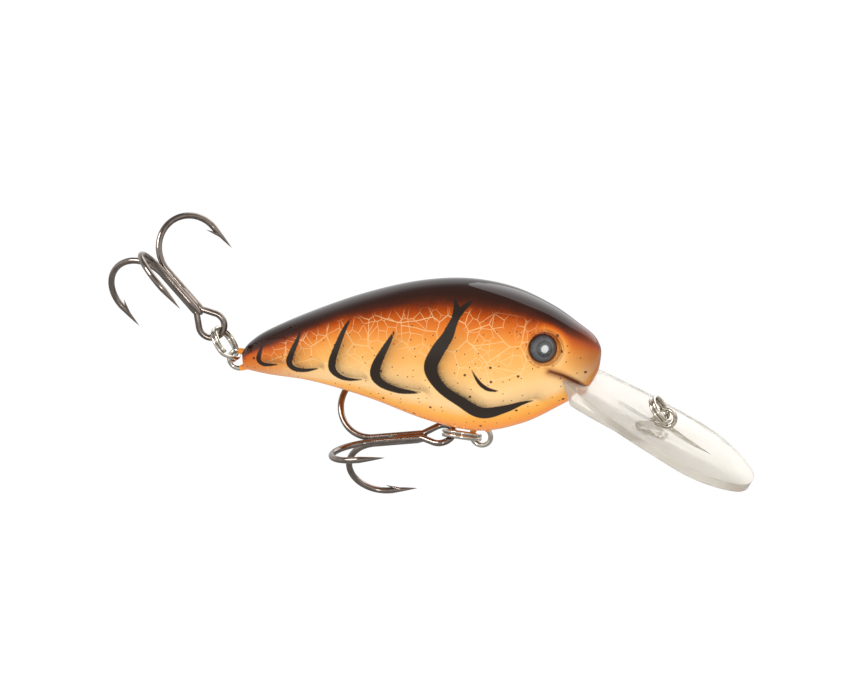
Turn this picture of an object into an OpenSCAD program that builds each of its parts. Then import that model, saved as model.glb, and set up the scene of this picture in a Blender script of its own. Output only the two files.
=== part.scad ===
// Deep-diving crankbait lure with a clear bill and two hanging treble hooks.
// Lengths are in millimetres, +X points to the nose, +Z to the back and +Y to the lure's left side.
// Shapes are laid out from the centre of the tail eye, then moved so the line tie eye is the origin.

/* [Body shells] */
// Half height of the body's end wall at the tail
tail_end_r = 1.7; // [1.2:0.1:2]
// Wall thickness of the hollow shells
wall = 1.3; // [1:0.1:1.6]
// Roundness of the cross-sections, where 2 is an ellipse
section_power = 2.2; // [2:0.1:2.6]
// Thickness of the ribs inside the shells
rib_t = 1.2; // [0.8:0.1:1.6]
// Radius of the pins that line up the two shells
pin_r = 0.5; // [0.35:0.05:0.5]
// Length of a shell pin past the seam
pin_len = 1.4; // [1:0.1:1.8]

/* [Diving bill] */
// Slope of the bill below the level
bill_slope = 34.5; // [32:0.5:37]
// Thickness of the bill
bill_t = 1.7; // [1.5:0.1:2]
// Thickness of the bill's root, inside the head
root_t = 3.2; // [2:0.1:3.4]
// Depth of the tapered recess in the bill's upper face
recess_depth = 0.5; // [0.3:0.1:0.7]

/* [Wire eyes] */
// Radius of the hook hangers' wire
hanger_wire_r = 0.45; // [0.4:0.01:0.46]
// Radius of a hanger's eye, to the middle of its wire
hanger_eye_r = 1.7; // [1.68:0.01:1.8]
// Radius of the line tie's wire
tie_wire_r = 0.42; // [0.38:0.01:0.44]
// Radius of the line tie's eye, to the middle of its wire
tie_eye_r = 1.68; // [1.65:0.01:1.75]

/* [Split rings] */
// Radius of the split rings' wire
ring_wire_r = 0.35; // [0.3:0.01:0.36]
// Radius of a hook's split ring, to the middle of its wire
hook_ring_r = 3.25; // [3.2:0.05:3.3]
// Radius of the line tie's split ring, to the middle of its wire
tie_ring_r = 2.4; // [2.35:0.05:2.6]

/* [Treble hooks] */
// Radius of the hook wire
hook_wire_r = 0.575; // [0.5:0.005:0.58]
// Radius of a hook's eye, to the middle of its wire
hook_eye_r = 2.275; // [2.25:0.025:2.3]
// Radius of each bend, to the middle of its wire
bend_r = 6; // [5.8:0.1:6]
// Length of each straight point
point_len = 5; // [4:0.1:5.2]

/* [Eyes] */
// Radius of the eye discs and their lenses
eye_r = 2.6; // [2.4:0.1:2.8]
// Radius of the sockets in the shells
socket_r = 3.1; // [3:0.1:3.2]

/* [Rattles and ballast] */
// Radius of the rattle balls
rattle_r = 2; // [1.6:0.1:2.1]
// Radius of the ballast rod
ballast_r = 3; // [2.6:0.1:3.1]
// Length of the ballast rod
ballast_len = 9; // [7:0.5:10]

/* [Hidden] */

$fn = 48;
gap = 0.05;

// Body outline from tail to nose: [x, back z, belly z, half width]
stations = [
    [1.0, tail_end_r, -tail_end_r, 1.3], [2.6, 3.3, -2.1, 2.3], [6, 5.3, -2.8, 3.6],
    [14, 8.4, -4.1, 5.9], [24, 11.5, -7.4, 8.0], [34, 13.5, -11.8, 9.1],
    [43, 13.7, -14.1, 9.4], [51, 11.9, -12.9, 8.6], [57.8, 8.5, -10, 6.2],
    [62.5, 4.9, -7.4, 4.1], [64.9, 2.8, -4.6, 2.6], [65.9, 1.0, -1.6, 1.1], [66.05, 0.1, -0.4, 0.15]];
// Sections between two stations and points around each section
steps = 4;
around = 32;
// Further than the body reaches on any side
far = 30;
// Sides of a bent wire's cross-section
wire_sides = 12;

// Bill outline from the tang to the tip: [distance along the bill, half width]
bill_rim = [
    [-12, 3.2], [-7, 5.3], [-3.4, 6.9], [0, 7.9], [5, 8.9], [9, 9.4], [12.5, 9.65], [16, 9.9],
    [19.5, 9.8], [22.8, 8.95], [26.3, 7.05], [29.2, 4.4], [30.7, 0]];
// Distances along the bill between which it thickens towards the root
taper_end = 5;
taper_start = -7;
// Point where the bill's upper face leaves the head
bill_root = [65.95, 0, -7.77];
// Line tie eye: distance along the bill and height above its upper face
tie_along = 11.8;
tie_lift = 1.65;
tie_eye = bill_point(tie_along, tie_lift);

// Where the line tie's ring passes through the eye: distance along the bill and height above it
tie_seat = [12.35, 1.35];
tie_ring_lift = 26;

// Legs of the hangers: where they start to draw apart, half their gap and where they end
tail_leg_x = 4;
tail_leg_end = 10;
belly_leg_x = 4.2;
belly_leg_end = 6.3;
leg_gap = 0.55;
// Bar across the end of the tail hanger's legs
tail_bar_x = 9.6;
tail_bar_len = 2.6;

belly_eye = [42.8, 0, -15.8];
belly_ring_lift = 9.8;
belly_ring_roll = 24;
belly_hook_lift = -3.5;
belly_hook_roll = 156;
tail_ring_lift = 58.4;
tail_hook_lift = 54.3;
tail_hook_roll = 283.8;
// How far a ring's wire sits from the middle of the eye that it hangs in
ring_seat = 0.42;
// How far the middle of a hook's eye hangs past the ring's far end
tail_hook_seat = 0.9;
belly_hook_seat = 0.7;
coil_half = ring_wire_r + 0.01;
tail_ring_end = ring_seat * aft(35);
tail_ring_mid = tail_ring_end + hook_ring_r * aft(tail_ring_lift);
tail_hook_eye = tail_ring_end + 2 * hook_ring_r * aft(tail_ring_lift)
    + tail_hook_seat * aft(tail_hook_lift);
belly_ring_end = belly_eye + ring_seat * aft(-40);
belly_ring_mid = belly_ring_end + hook_ring_r * aft(belly_ring_lift);
belly_hook_eye = belly_ring_end + 2 * hook_ring_r * aft(belly_ring_lift)
    + belly_hook_seat * aft(-45);

// Hook layout along the shank, measured from the eye
neck = 4.5;
bend_x = 12.6;
shank_leg = hook_wire_r * 1.02;
shank_drop = shank_leg / sqrt(3);
barb_root = 3.4;
barb_len = 2.5;
barb_turn = 28;
barb_r = 0.34;
tip_r = 0.06;

eye_spot = [57.34, -5.9, 2.69];
eye_turn = 30;
eye_tilt = 10;
disc_t = 0.5;
lens_h = 1.0;
socket_depth = 1.3;

ballast_spot = [47.2, 0, -8];
rear_ball = [20.5, 0, 1.2];
middle_ball = [34, 0, 3.4];
// Tail side of each rib, and the room under a rattle ball
rib_x = [15, 26.5, 40.5, 53];
ball_room = 0.1;
cradle_half = 5.5;
cradle_top = 0.6;
// Pins across the seam: [x, z]
pin_spots = [[15.6, 5.6], [27.1, 9], [41.1, 10.2], [53.6, 9], [53.6, -9.4], [15.6, -1.6]];
// Teardrop recess: middle and radius of its round end, and its tip
recess_mid = 12.4;
recess_r = 2.3;
recess_tip = 22.8;

// Unit vector that points to the tail, raised by an angle
function aft(lift) = [-cos(lift), 0, sin(lift)];
// Point beside the bill: distance along it and height above its upper face
function bill_point(along, lift) = bill_root + along * [cos(bill_slope), 0, -sin(bill_slope)]
    + lift * [sin(bill_slope), 0, cos(bill_slope)];

// Smooth curve through a list of rows, at t from 0 to the last row
function row(list, i) = i < 0 ? 2 * list[0] - list[1]
    : i >= len(list) ? 2 * list[len(list) - 1] - list[len(list) - 2] : list[i];
function curve_between(a, b, c, d, u) =
    (2 * b + u * (c - a) + u * u * (2 * a - 5 * b + 4 * c - d) + u * u * u * (3 * b - a - 3 * c + d)) / 2;
function curve(list, t) = let (i = min(floor(t), len(list) - 2))
    curve_between(row(list, i - 1), row(list, i), row(list, i + 1), row(list, i + 2), t - i);
function rounded(v) = sign(v) * pow(abs(v), 2 / section_power);

// One cross-section of the body, drawn in by inset on every side
function section(t, inset) = let (s = curve(stations, t), high = s[1] - inset, low = s[2] + inset,
    half_w = max(s[3] - inset, 0.1))
    [for (k = [0 : around - 1]) let (a = 360 * k / around)
        [s[0], half_w * rounded(sin(a)), (high + low) / 2 + (high - low) / 2 * rounded(cos(a))]];

// Closed loft through the sections at the given curve values
module loft(values, inset) {
    last = len(values) - 1;
    points = [for (t = values) each section(t, inset)];
    skin = [for (i = [0 : last - 1], k = [0 : around - 1]) let (a = i * around + k,
        b = i * around + (k + 1) % around) each [[a, b, b + around], [a, b + around, a + around]]];
    tail_cap = [[for (k = [0 : around - 1]) around - 1 - k]];
    nose_cap = [[for (k = [0 : around - 1]) last * around + k]];
    polyhedron(points, concat(skin, tail_cap, nose_cap));
}

module body_solid() {
    loft([for (i = [0 : (len(stations) - 1) * steps]) i / steps], 0);
}

// Hollow inside the two shells, left between the ribs
module cavity() {
    difference() {
        loft([for (i = [steps * 1.5 : (len(stations) - 3) * steps - 2]) i / steps], wall);
        for (x = rib_x) translate([x, -far, -far]) cube([rib_t, 2 * far, 2 * far]);
        // floors that carry the rattle balls
        for (bay = [0, 1]) let (ball = bay == 0 ? rear_ball : middle_ball)
            translate([rib_x[bay], -far, ball[2] - rattle_r - ball_room - rib_t])
                cube([rib_x[bay + 1] - rib_x[bay] + rib_t / 2, 2 * far, rib_t]);
        // cradle of the ballast rod
        translate([ballast_spot[0] - cradle_half, -far, -far])
            cube([2 * cradle_half, 2 * far, far + ballast_spot[2] + cradle_top]);
    }
}

// Points along an arc in the XY plane
function arc(centre, r, from, to, count) =
    [for (i = [0 : count]) let (a = from + (to - from) * i / count) centre + r * [cos(a), sin(a)]];

// A round wire along a path in the XY plane, with one radius for each point of the path
module bent_wire(path, radii) {
    last = len(path) - 1;
    points = [for (i = [0 : last]) let (run = path[min(i + 1, last)] - path[max(i - 1, 0)],
        across = [-run[1], run[0], 0] / norm(run))
        for (k = [0 : wire_sides - 1]) let (a = 360 * k / wire_sides)
            [path[i][0], path[i][1], 0] + radii[i] * (cos(a) * across + [0, 0, sin(a)])];
    skin = [for (i = [0 : last - 1], k = [0 : wire_sides - 1]) let (a = i * wire_sides + k,
        b = i * wire_sides + (k + 1) % wire_sides)
        each [[a, b + wire_sides, b], [a, a + wire_sides, b + wire_sides]]];
    start_cap = [[for (k = [0 : wire_sides - 1]) k]];
    end_cap = [[for (k = [wire_sides - 1 : -1 : 0]) last * wire_sides + k]];
    polyhedron(points, concat(skin, start_cap, end_cap));
}

function even(path, r) = [for (p = path) r];

// Eye with two legs that draw together and taper at their ends, from an eye at -X to legs at +X
module wire_eye(eye_r, wire_r, leg_x, leg_y, leg_end) {
    turn = acos(eye_r / norm([leg_x, leg_y])) + atan2(leg_y, leg_x);
    path = concat([[leg_end, leg_y], [leg_x, leg_y]], arc([0, 0], eye_r, turn, 360 - turn, 20),
        [[leg_x, -leg_y], [leg_end, -leg_y]]);
    last = len(path) - 1;
    bent_wire(path, [for (i = [0 : last]) i == 0 || i == last ? 0.8 * wire_r : wire_r]);
}

// Turns a wire shape from the XY plane to the XZ plane
module upright() rotate([90, 0, 0]) children();

module tail_hanger_wire(wire_r) {
    upright() wire_eye(hanger_eye_r, wire_r, tail_leg_x, leg_gap, tail_leg_end);
    translate([tail_bar_x, 0, 0]) cylinder(h = tail_bar_len, r = wire_r, center = true, $fn = wire_sides);
}

module belly_hanger_wire(wire_r) {
    translate(belly_eye) rotate([0, -90, 0]) upright()
        wire_eye(hanger_eye_r, wire_r, belly_leg_x, leg_gap, belly_leg_end);
}

module tail_hanger() resize([0, 0, 0]) tail_hanger_wire(hanger_wire_r);
module belly_hanger() resize([0, 0, 0]) belly_hanger_wire(hanger_wire_r);

// Bill outline on both sides of the middle line, grown by extra
module bill_outline(extra) {
    rim = [for (i = [0 : (len(bill_rim) - 1) * steps]) curve(bill_rim, i / steps)];
    polygon([for (p = rim) [p[0], p[1] + extra], for (i = [len(rim) - 2 : -1 : 0]) [rim[i][0], -rim[i][1] - extra]]);
}

// Moves a shape drawn on the bill's upper face to its place
module on_bill() translate(bill_root) rotate([0, bill_slope, 0]) children();

// Side view of the bill, flat on top and thicker at the root
module bill_profile(extra) {
    polygon([[-far, extra], [2 * far, extra], [2 * far, -bill_t - extra], [taper_end, -bill_t - extra],
        [taper_start, -root_t - extra], [-far, -root_t - extra]]);
}

module bill_plate(extra) {
    intersection() {
        translate([0, 0, -far]) linear_extrude(2 * far) bill_outline(extra);
        rotate([90, 0, 0]) linear_extrude(2 * far, center = true) bill_profile(extra);
    }
}

// Half of the body on one side of the seam, hollowed and cut for all it holds
module shell(side) {
    resize([0, 0, 0]) union() {
        difference() {
            intersection() {
                body_solid();
                translate([0, side < 0 ? -far : 0, -far]) cube([3 * far, far, 2 * far]);
            }
            cavity();
            on_bill() bill_plate(gap);
            tail_hanger_wire(hanger_wire_r + gap);
            belly_hanger_wire(hanger_wire_r + gap);
            translate(ballast_spot) rotate([90, 0, 0])
                cylinder(h = ballast_len + 2 * gap, r = ballast_r + gap, center = true);
            on_eye(side) translate([0, 0, -socket_depth]) cylinder(h = 6, r = socket_r);
            if (side > 0) shell_pins(pin_r + gap, pin_len + gap);
        }
        if (side < 0) shell_pins(pin_r, pin_len);
    }
}

// Pins that cross the seam, on the ribs and in the solid tail
module shell_pins(r, reach) {
    for (spot = pin_spots)
        translate([spot[0], 0, spot[1]]) rotate([-90, 0, 0]) translate([0, 0, -0.5])
            cylinder(h = reach + 0.5, r = r, $fn = 20);
}

// Moves a shape to an eye socket, with +Z along the eye's outward axis
module on_eye(side) {
    mirror([0, side > 0 ? 1 : 0, 0]) translate(eye_spot)
        rotate([0, 0, eye_turn]) rotate([90 - eye_tilt, 0, 0]) children();
}

module eye_disc(side) {
    on_eye(side) translate([0, 0, -socket_depth]) cylinder(h = disc_t, r = eye_r);
}

// Domed lens: a slice off a ball whose edge meets the disc
module eye_lens(side) {
    ball_r = (eye_r * eye_r + lens_h * lens_h) / (2 * lens_h);
    on_eye(side) translate([0, 0, disc_t - socket_depth]) intersection() {
        translate([0, 0, lens_h - ball_r]) sphere(ball_r);
        cylinder(h = lens_h + 1, r = eye_r);
    }
}

module diving_bill() {
    on_bill() difference() {
        bill_plate(0);
        translate([0, 0, -recess_depth]) linear_extrude(recess_depth + 1) bill_recess();
    }
}

// Long tapered recess in front of the line tie
module bill_recess() {
    polygon([for (a = [60 : 15 : 300]) [recess_mid + recess_r * cos(a), recess_r * sin(a)], [recess_tip, 0]]);
}

module line_tie_wire() {
    // the eye stands on the bill, and its two legs lie side by side in the plate
    front = arc([0, 0], tie_eye_r, -130, 165, 18);
    eye_path = concat([[-1.6, -tie_lift - bill_t / 2]], front, [[-2.4, -tie_lift - bill_t / 2]]);
    resize([0, 0, 0]) on_bill() union() {
        translate([tie_along, 0, tie_lift]) upright() bent_wire(eye_path, even(eye_path, tie_wire_r));
        for (side = [-1, 1]) translate([0, side * (tie_wire_r - 0.02), -bill_t / 2])
            bent_wire([[-5, 0], [tie_along - 2, 0]], [tie_wire_r, tie_wire_r]);
    }
}

module split_ring(path_r) {
    for (side = [-1, 1]) translate([0, 0, side * coil_half])
        rotate_extrude() translate([path_r, 0]) circle(ring_wire_r, $fn = 24);
}

// Moves a shape so that +X runs aft at a lift, rolled about that line
module slung(spot, lift, roll) {
    translate(spot) rotate([0, 180 + lift, 0]) rotate([180 + roll, 0, 0]) children();
}

// Shank, round bend, tapered point and barb of one hook, bent towards +Z
module hook_arm(shank_from) {
    path = concat([[shank_from, 0]], arc([bend_x, bend_r], bend_r, -90, 90, 16),
        [[bend_x - point_len, 2 * bend_r]]);
    upright() bent_wire(path, [for (i = [0 : len(path) - 1]) i == len(path) - 1 ? tip_r : hook_wire_r]);
    translate([bend_x + barb_root - point_len, 0, 2 * bend_r]) rotate([0, 90 + barb_turn, 0])
        cylinder(h = barb_len, r1 = barb_r, r2 = tip_r, $fn = wire_sides);
}

// Double hook bent from one wire, with the eye in the middle
module hook_pair() {
    resize([0, 0, 0]) union() {
        translate([0, 0, -shank_drop]) wire_eye(hook_eye_r, hook_wire_r, neck, shank_leg, neck + 1);
        for (side = [-1, 1]) translate([0, side * shank_leg, -shank_drop]) rotate([-side * 120, 0, 0])
            hook_arm(neck + 0.2);
    }
}

// Third hook, brazed along the double hook's shanks
module hook_single() {
    resize([0, 0, 0]) translate([0, 0, 2 * shank_drop]) hook_arm(neck - 0.8);
}

module ballast_weight() {
    translate(ballast_spot) rotate([90, 0, 0]) cylinder(h = ballast_len, r = ballast_r, center = true);
}

module rattle_ball(spot) translate(spot) sphere(rattle_r);

// The line tie's ring leans back over the bill
module line_tie_ring() {
    on_bill() slung([tie_seat[0], 0, tie_seat[1]] + tie_ring_r * aft(tie_ring_lift), tie_ring_lift, 0)
        split_ring(tie_ring_r);
}

module belly_split_ring() slung(belly_ring_mid, belly_ring_lift, belly_ring_roll) split_ring(hook_ring_r);
module tail_split_ring() slung(tail_ring_mid, tail_ring_lift, 0) split_ring(hook_ring_r);
module belly_hook() slung(belly_hook_eye, belly_hook_lift, belly_hook_roll) children();
module tail_hook() slung(tail_hook_eye, tail_hook_lift, tail_hook_roll) children();

// Puts the line tie's eye at the origin
module on_origin() translate(-tie_eye) children();

on_origin() color("darkorange") shell(-1);  // right_shell
on_origin() color("orange") shell(1);  // left_shell
on_origin() color("lightcyan", 0.5) diving_bill();
on_origin() color("silver") line_tie_wire();
on_origin() color("silver") line_tie_ring();
on_origin() color("silver") belly_hanger();
on_origin() color("silver") belly_split_ring();
on_origin() color("dimgray") belly_hook() hook_pair();  // belly_hook_pair
on_origin() color("dimgray") belly_hook() hook_single();  // belly_hook_single
on_origin() color("silver") tail_hanger();
on_origin() color("silver") tail_split_ring();
on_origin() color("dimgray") tail_hook() hook_pair();  // tail_hook_pair
on_origin() color("dimgray") tail_hook() hook_single();  // tail_hook_single
on_origin() color("slategray") eye_disc(-1);  // right_eye_disc
on_origin() color("black") eye_lens(-1);  // right_eye_lens
on_origin() color("slategray") eye_disc(1);  // left_eye_disc
on_origin() color("black") eye_lens(1);  // left_eye_lens
on_origin() color("gray") ballast_weight();
on_origin() color("lightgray") rattle_ball(rear_ball);  // rear_rattle
on_origin() color("lightgray") rattle_ball(middle_ball);  // middle_rattle
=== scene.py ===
import math

import bpy
import numpy as np
from mathutils import Matrix, Vector


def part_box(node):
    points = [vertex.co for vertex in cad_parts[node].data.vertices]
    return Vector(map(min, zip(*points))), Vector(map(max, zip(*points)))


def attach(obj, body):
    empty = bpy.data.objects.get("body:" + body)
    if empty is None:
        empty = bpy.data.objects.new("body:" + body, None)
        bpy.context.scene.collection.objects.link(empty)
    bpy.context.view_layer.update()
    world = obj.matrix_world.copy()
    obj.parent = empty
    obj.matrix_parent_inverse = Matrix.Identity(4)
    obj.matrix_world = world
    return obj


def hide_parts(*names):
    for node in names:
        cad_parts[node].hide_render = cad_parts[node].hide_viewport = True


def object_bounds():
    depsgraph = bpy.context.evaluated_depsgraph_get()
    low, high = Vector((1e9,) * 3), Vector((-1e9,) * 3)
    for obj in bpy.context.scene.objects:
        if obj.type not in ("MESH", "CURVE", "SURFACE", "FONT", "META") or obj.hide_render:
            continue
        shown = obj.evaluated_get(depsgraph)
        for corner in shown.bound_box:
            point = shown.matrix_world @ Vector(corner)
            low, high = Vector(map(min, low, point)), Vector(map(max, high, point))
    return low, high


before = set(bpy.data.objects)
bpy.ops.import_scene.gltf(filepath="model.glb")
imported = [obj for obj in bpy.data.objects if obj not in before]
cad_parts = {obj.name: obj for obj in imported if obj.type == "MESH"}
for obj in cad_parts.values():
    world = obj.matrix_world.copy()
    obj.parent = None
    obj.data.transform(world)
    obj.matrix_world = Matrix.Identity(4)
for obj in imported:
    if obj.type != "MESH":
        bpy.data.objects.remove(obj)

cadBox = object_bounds()
mm = 0.001

# The tail eye is the point that the body's outline is measured from
hangerLow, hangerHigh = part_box("tail_hanger")
# outer radius of the tail hanger's eye
hangerOuter = 2.15 * mm
tailEye = np.array([hangerLow.x + hangerOuter, 0.0, (hangerLow.z + hangerHigh.z) / 2])


def deselectAll():
    bpy.ops.object.select_all(action="DESELECT")


def placed(pointsMm):
    return np.asarray(pointsMm, float) * mm + tailEye


def smoothRow(rows, t):
    # a smooth curve through rows of numbers, read at places t counted in rows
    rows = np.asarray(rows, float)
    last = len(rows) - 1
    t = np.clip(np.asarray(t, float), 0, last)
    i = np.minimum(t.astype(int), last - 1)
    u = (t - i)[:, None]
    padded = np.vstack([2 * rows[0] - rows[1], rows, 2 * rows[-1] - rows[-2]])
    a, b, c, d = padded[i], padded[i + 1], padded[i + 2], padded[i + 3]
    square, cube = 2 * a - 5 * b + 4 * c - d, 3 * b - a - 3 * c + d
    return 0.5 * (2 * b + u * (c - a) + u**2 * square + u**3 * cube)


def smoothStep(low, high, value):
    x = np.clip((value - low) / (high - low), 0, 1)
    return x * x * (3 - 2 * x)


def pathDistance(x, z, path):
    # distance from the edge of a stripe that follows the path, in mm, below 0 inside it
    best = np.full(x.shape, 1e9)
    rows = smoothRow(path, np.linspace(0, len(path) - 1, 8 * (len(path) - 1) + 1))
    for a, b in zip(rows[:-1], rows[1:]):
        ab = b[:2] - a[:2]
        t = np.clip(((x - a[0]) * ab[0] + (z - a[1]) * ab[1]) / (ab @ ab + 1e-12), 0, 1)
        gap = np.hypot(x - a[0] - t * ab[0], z - a[1] - t * ab[1]) - (a[2] + t * (b[2] - a[2]))
        best = np.minimum(best, gap)
    return best


def gridPiece(name, columns, rows, place):
    # a grid primitive whose points are moved by place(u, v), with u and v from 0 to 1
    deselectAll()
    bpy.ops.mesh.primitive_grid_add(x_subdivisions=columns, y_subdivisions=rows, size=1)
    piece = bpy.context.object
    piece.name = piece.data.name = name
    count = len(piece.data.vertices)
    co = np.zeros(count * 3)
    piece.data.vertices.foreach_get("co", co)
    co = co.reshape(-1, 3)
    moved = place(co[:, 0] + 0.5, co[:, 1] + 0.5)
    piece.data.vertices.foreach_set("co", moved.ravel())
    piece.data.update()
    return piece


def selectOnly(piece):
    deselectAll()
    bpy.context.view_layer.objects.active = piece
    piece.select_set(True)


def sealPiece(piece, merge=0.00001):
    # welds the seam, closes the open ends and turns every face outward
    selectOnly(piece)
    bpy.ops.object.mode_set(mode="EDIT")
    bpy.ops.mesh.select_all(action="SELECT")
    bpy.ops.mesh.remove_doubles(threshold=merge)
    bpy.ops.mesh.select_all(action="DESELECT")
    bpy.ops.mesh.select_mode(type="EDGE")
    bpy.ops.mesh.select_non_manifold()
    bpy.ops.mesh.fill_holes(sides=0)
    bpy.ops.mesh.select_all(action="SELECT")
    bpy.ops.mesh.normals_make_consistent(inside=False)
    bpy.ops.object.mode_set(mode="OBJECT")


def shadeSmooth(piece, degrees):
    selectOnly(piece)
    bpy.ops.object.shade_smooth_by_angle(angle=math.radians(degrees))


def applyAll(piece):
    selectOnly(piece)
    for modifier in list(piece.modifiers):
        bpy.ops.object.modifier_apply(modifier=modifier.name)


def cutAway(piece, name, cutter):
    cut = piece.modifiers.new(name, "BOOLEAN")
    cut.object = cutter
    cut.operation = "DIFFERENCE"
    cut.solver = "EXACT"
    applyAll(piece)
    bpy.data.objects.remove(cutter)


def points(piece):
    co = np.zeros(len(piece.data.vertices) * 3)
    piece.data.vertices.foreach_get("co", co)
    return co.reshape(-1, 3)


def addValue(piece, name, values):
    layer = piece.data.attributes.new(name, "FLOAT", "POINT")
    layer.data.foreach_set("value", np.asarray(values, np.float32))


def dress(piece, material, body, slot, *nodes):
    piece.data.materials.clear()
    piece.data.materials.append(material)
    if nodes:
        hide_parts(*nodes)
    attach(piece, body)


def wirePiece(name, path, radii, sides=20, flatten=None):
    # a round wire along a path in mm, closed at both ends
    # flatten is a direction and how much of the width is kept along it
    path = np.asarray(path, float)
    radii = np.asarray(radii, float)
    run = np.gradient(path, axis=0)
    run /= np.linalg.norm(run, axis=1, keepdims=True)
    across = np.zeros_like(path)
    first = np.cross(run[0], [0.3, 0.9, 0.2])
    across[0] = first / np.linalg.norm(first)
    for i in range(1, len(path)):
        side = across[i - 1] - run[i] * (across[i - 1] @ run[i])
        across[i] = side / np.linalg.norm(side)
    up = np.cross(run, across)
    path = np.vstack([path[:1], path, path[-1:]])
    across = np.vstack([across[:1], across, across[-1:]])
    up = np.vstack([up[:1], up, up[-1:]])
    radii = np.concatenate([[0], radii, [0]])
    last = len(path) - 1

    def place(u, v):
        i = np.rint(u * last).astype(int)
        turn = 2 * math.pi * v
        ring = np.cos(turn)[:, None] * across[i] + np.sin(turn)[:, None] * up[i]
        if flatten is not None:
            ring = ring - (1 - flatten[1]) * np.outer(ring @ flatten[0], flatten[0])
        return placed(path[i] + radii[i][:, None] * ring)

    piece = gridPiece(name, last, sides, place)
    sealPiece(piece)
    shadeSmooth(piece, 40)
    return piece


def joinPieces(first, others):
    selectOnly(first)
    for other in others:
        other.select_set(True)
    bpy.ops.object.join()


def newMaterial(name):
    material = bpy.data.materials.new(name)
    material.use_nodes = True
    tree = material.node_tree
    return material, tree, tree.nodes["Principled BSDF"]


def link(tree, source, node, socket):
    # a source is a (node, output) pair
    tree.links.new(source[0].outputs[source[1]], node.inputs[socket])


def feed(tree, what, node, socket):
    # what is a source or a constant
    if isinstance(what, tuple):
        link(tree, what, node, socket)
    else:
        node.inputs[socket].default_value = what


def fillRamp(tree, source, stops):
    ramp = tree.nodes.new("ShaderNodeValToRGB")
    link(tree, source, ramp, "Fac")
    elements = ramp.color_ramp.elements
    while len(elements) < len(stops):
        elements.new(0.5)
    for element, (place, tone) in zip(elements, stops):
        element.position = place
        element.color = colour(tone)
    return (ramp, "Color")


def addBump(tree, height, shader, strength, distance):
    bump = tree.nodes.new("ShaderNodeBump")
    bump.inputs["Strength"].default_value = strength
    bump.inputs["Distance"].default_value = distance
    link(tree, height, bump, "Height")
    link(tree, (bump, "Normal"), shader, "Normal")


def objectPlace(tree):
    return (tree.nodes.new("ShaderNodeTexCoord"), "Object")


def colour(hexText):
    values = [int(hexText[i:i + 2], 16) / 255 for i in (0, 2, 4)]
    return [v / 12.92 if v <= 0.04045 else ((v + 0.055) / 1.055) ** 2.4 for v in values] + [1]


def mixColour(tree, base, amount, over):
    # base and over are sources or colours, and amount is a source
    mix = tree.nodes.new("ShaderNodeMix")
    mix.data_type = "RGBA"
    link(tree, amount, mix, "Factor")
    # the sockets of a colour mix share their names, so they go by number
    feed(tree, base, mix, 6)
    feed(tree, over, mix, 7)
    return (mix, 2)


def mapped(tree, source, low, high, toLow=0.0, toHigh=1.0):
    node = tree.nodes.new("ShaderNodeMapRange")
    node.interpolation_type = "SMOOTHSTEP"
    link(tree, source, node, "Value")
    for socket, value in (("From Min", low), ("From Max", high), ("To Min", toLow), ("To Max", toHigh)):
        node.inputs[socket].default_value = value
    return (node, 0)


def maths(tree, kind, a, b):
    node = tree.nodes.new("ShaderNodeMath")
    node.operation = kind
    feed(tree, a, node, 0)
    feed(tree, b, node, 1)
    return (node, 0)


def swing(tree, source, amount):
    # a noise made to wander to both sides of 0
    return maths(tree, "MULTIPLY", maths(tree, "SUBTRACT", source, 0.5), amount)


def attribute(tree, name):
    node = tree.nodes.new("ShaderNodeAttribute")
    node.attribute_name = name
    return (node, "Fac")


def noise(tree, coordinates, scale, detail=2.0, roughness=0.5):
    node = tree.nodes.new("ShaderNodeTexNoise")
    link(tree, coordinates, node, "Vector")
    node.inputs["Scale"].default_value = scale
    node.inputs["Detail"].default_value = detail
    node.inputs["Roughness"].default_value = roughness
    return (node, 0)


paint = {
    # colours from the middle of the back, round the side, to the middle of the belly, with their
    # share of the way
    "bands": [(0.0, "26110a"), (0.13, "33160b"), (0.172, "4a1e0e"), (0.20, "702a08"), (0.226, "a03c02"),
              (0.26, "c45606"), (0.30, "db6f12"), (0.345, "ea8a2e"), (0.40, "f4a44a"), (0.48, "fab764"),
              (0.57, "fdce8c"), (0.65, "fdd296"), (0.72, "ffb652"), (0.82, "fc9830"), (1.0, "f07a18")],
    "stripe": "2a2018",
    "crack": "ffdca0",
    "speck": "4a2414",
    # a brown for the nose, also used for painted shade along the mouth and round the eye sockets
    "noseAndShadeBrown": "8e3a10",
    # painted shadow in the mouth crease under the upper lip
    "creaseShadow": "5c2408",
    "tailOrange": "cc5a10",
    # noise scales, and how far each noise moves the bands
    "fine": 5200,
    "wide": 260,
    "grain": 0.07,
    "drift": 0.05,
    "swirl": 330,
    "swirlBy": 0.0006,
    # two nets of cracks: cell size in mm, line width, scale of the patches they come in, where one starts
    "cracks": [(4.4, 0.024, 90, 0.28), (1.848, 0.035, 150, 0.42)],
    # two sizes of speck: cell size in mm, radius, share of the cells that hold one
    "specks": [(4.0, 0.072, 0.42), (1.9, 0.07, 0.55)],
    "stripeFray": 0.22,
    "roughness": (0.34, 0.48),
}


def crackNet(tree, coordinates, flatPlace):
    lines = None
    for size, width, patchScale, patchFrom in paint["cracks"]:
        cells = tree.nodes.new("ShaderNodeTexVoronoi")
        cells.feature = "DISTANCE_TO_EDGE"
        cells.voronoi_dimensions = "2D"
        cells.inputs["Scale"].default_value = 1 / (size * mm)
        cells.inputs["Randomness"].default_value = 1.0
        link(tree, flatPlace, cells, "Vector")
        line = mapped(tree, (cells, "Distance"), width * 0.3, width, 1.0, 0.0)
        patch = mapped(tree, noise(tree, coordinates, patchScale, 1), patchFrom, 0.52)
        line = maths(tree, "MULTIPLY", line, patch)
        lines = line if lines is None else maths(tree, "MAXIMUM", lines, line)
    return maths(tree, "MULTIPLY", lines, attribute(tree, "crackle"))


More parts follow.
